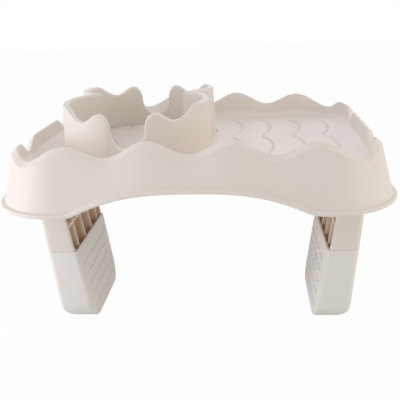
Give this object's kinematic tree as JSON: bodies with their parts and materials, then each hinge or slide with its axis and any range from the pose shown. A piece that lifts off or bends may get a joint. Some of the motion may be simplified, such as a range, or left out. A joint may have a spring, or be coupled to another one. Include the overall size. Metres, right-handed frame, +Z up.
{
  "type": "hot tub tray",
  "caption": "Drinks and snack tray that straddles a soft tub wall on two plug-in legs with grip boots; its wavy rim holds a lift-out cup ring with two handle notches.",
  "frame": {"origin": "on the ground plane under the middle of the tray, level with the soles of the two boots", "axes": "+X along the tray from the cup ring's side to the snack side, -Y towards the front, +Z up"},
  "size_m": [0.4064, 0.3234, 0.2617],
  "materials": {
    "cream_plastic": "fine matt moulded cream plastic",
    "cream_rubber": "soft matt cream rubber with moulded grip bars on its inner face"
  },
  "bodies": {
    "tray": {"tray": "cream_plastic"},
    "cup_ring": {"cup_ring": "cream_plastic"},
    "leg_left": {"leg_left": "cream_plastic"},
    "leg_right": {"leg_right": "cream_plastic"},
    "boot_left": {"boot_left": "cream_rubber"},
    "boot_right": {"boot_right": "cream_rubber"}
  },
  "joints": [
    {"name": "ring_lift", "type": "slide", "parent": "tray", "child": "cup_ring", "axis": [0, 0, 1], "range_m": [0, 0.08]},
    {"name": "leg_left_pull", "type": "slide", "parent": "tray", "child": "leg_left", "axis": [0.1161, 0, -0.9932], "range_m": [0, 0.06]},
    {"name": "leg_right_pull", "type": "slide", "parent": "tray", "child": "leg_right", "axis": [-0.1161, 0, -0.9932], "range_m": [0, 0.06]},
    {"name": "boot_left_pull", "type": "slide", "parent": "leg_left", "child": "boot_left", "axis": [0.1161, 0, -0.9932], "range_m": [0, 0.1]},
    {"name": "boot_right_pull", "type": "slide", "parent": "leg_right", "child": "boot_right", "axis": [-0.1161, 0, -0.9932], "range_m": [0, 0.1]}
  ]
}
